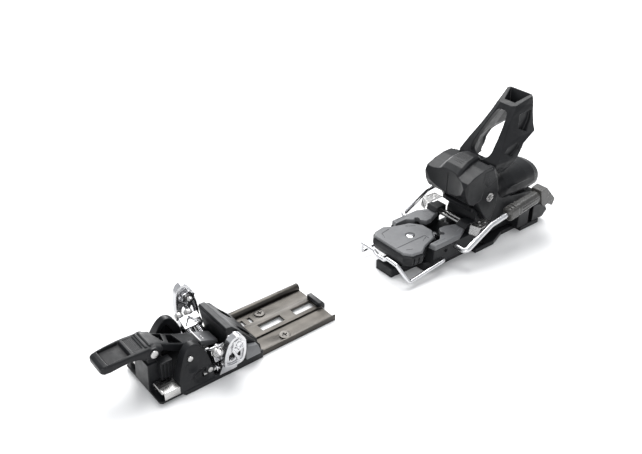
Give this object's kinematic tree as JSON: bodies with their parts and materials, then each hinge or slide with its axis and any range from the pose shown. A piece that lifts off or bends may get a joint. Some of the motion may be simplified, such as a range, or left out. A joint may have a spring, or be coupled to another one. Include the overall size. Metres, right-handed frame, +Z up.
{
  "type": "touring binding",
  "caption": "Ski touring binding with a pin toe, rear rail, alpine heel cup, release lever, brake and climbing bail on one ski axis.",
  "frame": {"origin": "on the ski's top surface, on the centre line, in the middle of the toe unit", "axes": "+X to the skier's left, +Y towards the ski's tail, +Z up"},
  "size_m": [0.105, 0.5179, 0.1496],
  "materials": {
    "black_plastic": "moulded, fine grain, satin",
    "rubber_inlay": "soft matte",
    "grey_plastic": "moulded, low friction",
    "anodised_rail": "extruded, warm grey anodised",
    "dark_steel": "blackened",
    "bright_alloy": "forged and polished",
    "bright_steel": "polished",
    "spring_steel": "ground wire",
    "polished_wire": "bright drawn wire",
    "brake_plastic": "moulded, satin",
    "signal_plastic": "plain"
  },
  "bodies": {
    "ski_side": {"toe_base": "black_plastic", "toe_rear_cover": "black_plastic", "brake_base": "black_plastic", "rail_end_cap": "black_plastic", "heel_track": "black_plastic", "toe_bracket_left": "black_plastic", "toe_bracket_right": "black_plastic", "side_pad_left": "grey_plastic", "side_pad_right": "grey_plastic", "tower_left": "grey_plastic", "tower_right": "grey_plastic", "boot_stop_left": "grey_plastic", "boot_stop_right": "grey_plastic", "toe_rail": "anodised_rail", "rail_screws": "dark_steel", "bracket_pins": "bright_steel", "lever_pin": "bright_steel", "cross_rods": "bright_steel", "pedal_axle": "bright_steel", "wing_axle_left": "bright_steel", "wing_axle_right": "bright_steel", "crampon_clip_left": "bright_steel", "crampon_clip_right": "bright_steel", "tower_plate_left": "bright_steel", "tower_plate_right": "bright_steel", "pedal_spring": "spring_steel"},
    "wing_left": {"toe_wing_left": "bright_alloy", "boot_pin_left": "bright_steel", "jaw_block_left": "bright_alloy", "jaw_springs_left": "spring_steel", "spring_caps_left": "bright_alloy"},
    "wing_right": {"toe_wing_right": "bright_alloy", "boot_pin_right": "bright_steel", "jaw_block_right": "bright_alloy", "jaw_springs_right": "spring_steel", "spring_caps_right": "bright_alloy"},
    "toe_handle": {"toe_lever": "black_plastic", "lever_pad": "rubber_inlay", "lock_plate": "grey_plastic"},
    "pedal": {"brake_pedal": "black_plastic", "pedal_pad": "grey_plastic", "pedal_rivet": "bright_steel"},
    "brake_arms": {"brake_wire_left": "polished_wire", "brake_wire_right": "polished_wire", "brake_sleeve_left": "brake_plastic", "brake_sleeve_right": "brake_plastic", "brake_foot_left": "brake_plastic", "brake_foot_right": "brake_plastic"},
    "bail": {"climbing_bail": "polished_wire"},
    "carriage": {"heel_carriage": "black_plastic", "heel_housing": "black_plastic", "cup_axle": "bright_steel", "cup_screws": "bright_steel", "release_spring": "spring_steel"},
    "length_adjuster": {"length_screw": "dark_steel"},
    "release_adjuster": {"din_screw": "dark_steel"},
    "setting_pointer": {"din_pointer": "signal_plastic"},
    "heel_jaw": {"heel_cup": "black_plastic", "treadle": "black_plastic"},
    "heel_lever": {"release_lever": "black_plastic"}
  },
  "joints": [
    {"name": "wing_left_close", "type": "hinge", "parent": "ski_side", "child": "wing_left", "pos_m": [0.026, 0, 0.0095], "axis": [0, -1, 0], "range_deg": [0, 14]},
    {"name": "wing_right_close", "type": "hinge", "parent": "ski_side", "child": "wing_right", "pos_m": [-0.026, 0, 0.0095], "axis": [0, 1, 0], "range_deg": [0, 14]},
    {"name": "toe_lever_lift", "type": "hinge", "parent": "ski_side", "child": "toe_handle", "pos_m": [0, -0.071, 0.041], "axis": [-1, 0, 0], "range_deg": [0, 10]},
    {"name": "brake_swing", "type": "hinge", "parent": "ski_side", "child": "brake_arms", "pos_m": [0, 0.256, 0.0215], "axis": [-1, 0, 0], "range_deg": [0, 50]},
    {"name": "pedal_rise", "type": "hinge", "parent": "ski_side", "child": "pedal", "pos_m": [0, 0.243, 0.021], "axis": [-1, 0, 0], "range_deg": [0, 35]},
    {"name": "bail_fold", "type": "hinge", "parent": "ski_side", "child": "bail", "pos_m": [0, 0.238, 0.013], "axis": [-1, 0, 0], "range_deg": [0, 90]},
    {"name": "carriage_slide", "type": "slide", "parent": "ski_side", "child": "carriage", "axis": [0, 1, 0], "range_m": [0, 0.016]},
    {"name": "length_screw_turn", "type": "hinge", "parent": "carriage", "child": "length_adjuster", "pos_m": [0, 0.39, 0.014], "axis": [0, 1, 0], "range_deg": [0, 1441]},
    {"name": "release_screw_turn", "type": "hinge", "parent": "carriage", "child": "release_adjuster", "pos_m": [0, 0.39, 0.05], "axis": [0, -1, 0], "range_deg": [0, 1800]},
    {"name": "pointer_slide", "type": "slide", "parent": "carriage", "child": "setting_pointer", "axis": [0, 1, 0], "range_m": [0, 0.0091]},
    {"name": "cup_open", "type": "hinge", "parent": "carriage", "child": "heel_jaw", "pos_m": [0, 0.306, 0.058], "axis": [-1, 0, 0], "range_deg": [0, 20]},
    {"name": "heel_lever_tilt", "type": "hinge", "parent": "carriage", "child": "heel_lever", "pos_m": [0, 0.306, 0.058], "axis": [-1, 0, 0], "range_deg": [0, 26.1]}
  ],
  "couplings": [
    {"joint": "wing_right_close", "follows": "wing_left_close", "ratio": 1},
    {"joint": "toe_lever_lift", "follows": "wing_left_close", "ratio": 0.71429},
    {"joint": "pedal_rise", "follows": "brake_swing", "ratio": 0.7},
    {"joint": "length_screw_turn", "follows": "carriage_slide", "rad_per_m": 1570.8},
    {"joint": "pointer_slide", "follows": "release_screw_turn", "m_per_rad": 0.00028648},
    {"joint": "heel_lever_tilt", "follows": "cup_open", "ratio": 1.3}
  ]
}
